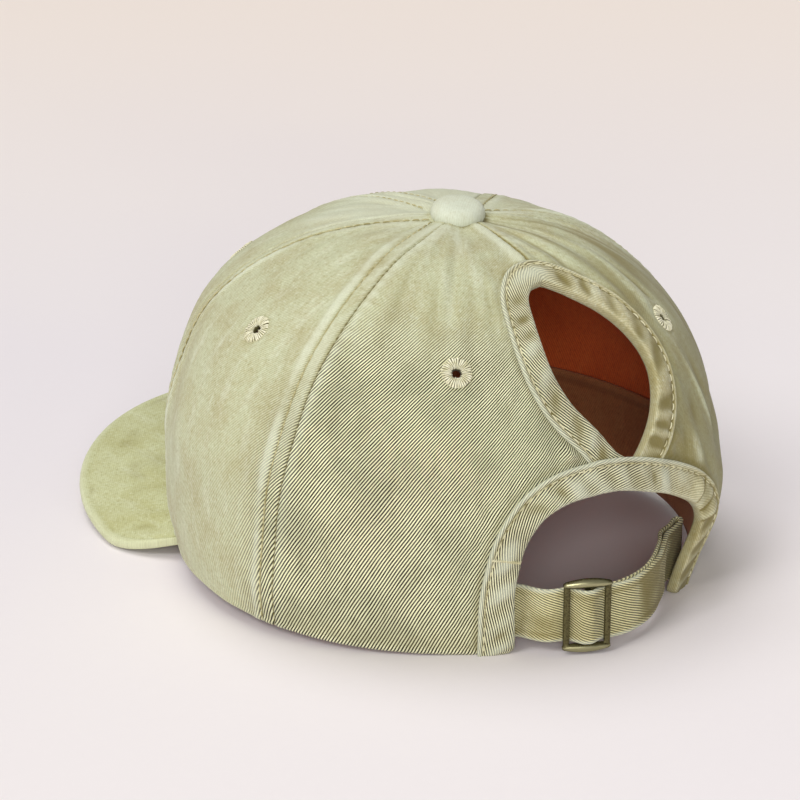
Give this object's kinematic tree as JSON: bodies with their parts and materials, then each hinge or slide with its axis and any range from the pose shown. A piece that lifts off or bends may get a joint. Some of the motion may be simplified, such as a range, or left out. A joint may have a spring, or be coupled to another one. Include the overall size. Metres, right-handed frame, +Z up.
{
  "type": "ponytail baseball cap",
  "caption": "Washed cotton twill baseball cap with a curved brim, a high ponytail hole and a low back arch closed by a strap with a slide buckle.",
  "frame": {"origin": "on the floor under the middle of the cap's bounding box", "axes": "+Z up, the brim points to -Y and the arch to +Y, the wearer's left is +X"},
  "size_m": [0.1834, 0.2422, 0.1217],
  "materials": {
    "twill": "washed cotton twill, matt",
    "thread": "embroidery thread",
    "button_twill": "washed cotton twill, paler with wear",
    "binding": "folded cotton twill strip with a stitched edge",
    "sweatband": "plain cotton band",
    "brim_twill": "washed cotton twill over a stiff board",
    "strap": "folded cotton twill strap",
    "antique_brass": "dark antique brass with rubbed edges"
  },
  "bodies": {
    "root": {"panel_front_left": "twill", "panel_front_right": "twill", "panel_side_left": "twill", "panel_side_right": "twill", "panel_back_left": "twill", "panel_back_right": "twill", "eyelet_front_left": "thread", "eyelet_front_right": "thread", "eyelet_side_left": "thread", "eyelet_side_right": "thread", "eyelet_back_left": "thread", "eyelet_back_right": "thread", "crown_button": "button_twill", "arch_binding": "binding", "hole_binding": "binding", "sweatband": "sweatband", "brim": "brim_twill", "strap": "strap", "slide_buckle": "antique_brass"}
  },
  "joints": []
}
